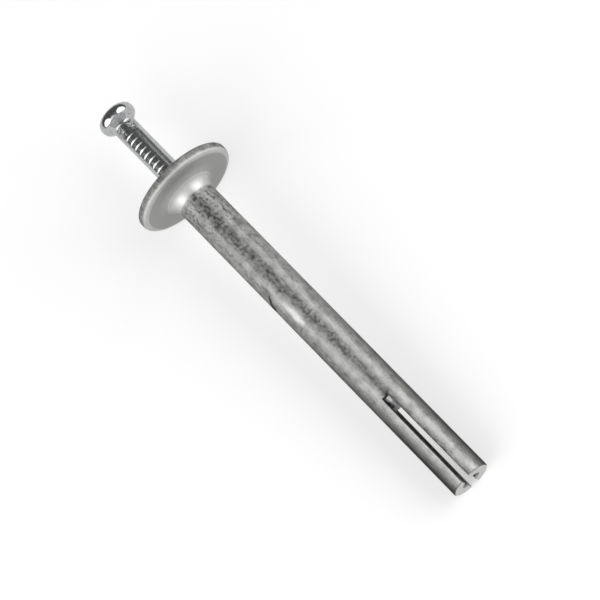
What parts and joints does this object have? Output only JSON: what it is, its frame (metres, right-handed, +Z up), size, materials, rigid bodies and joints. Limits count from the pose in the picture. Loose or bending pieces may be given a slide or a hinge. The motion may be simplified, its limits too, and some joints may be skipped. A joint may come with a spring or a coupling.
{
  "type": "hammer drive anchor",
  "caption": "Masonry anchor with a wide flange and a slotted tip, spread by hammering home the steel pin that stands out of its bore.",
  "frame": {"origin": "on the surface it lies on, under the middle of its bounding box", "axes": "+Z up; +X along the anchor towards its slotted tip, which lies low, so the anchor's own axis dips by the joint's axis direction; +Y across it"},
  "size_m": [0.0802, 0.017, 0.017],
  "materials": {
    "zinc_casting": "die-cast zinc alloy, satin with a fine grain",
    "plated_steel": "bright zinc plating"
  },
  "bodies": {
    "anchor": {"anchor_body": "zinc_casting"},
    "pin": {"drive_pin": "plated_steel"}
  },
  "joints": [
    {"name": "pin_drive", "type": "slide", "parent": "anchor", "child": "pin", "axis": [0.9963, 0, -0.0856], "range_m": [0, 0.01305]}
  ]
}
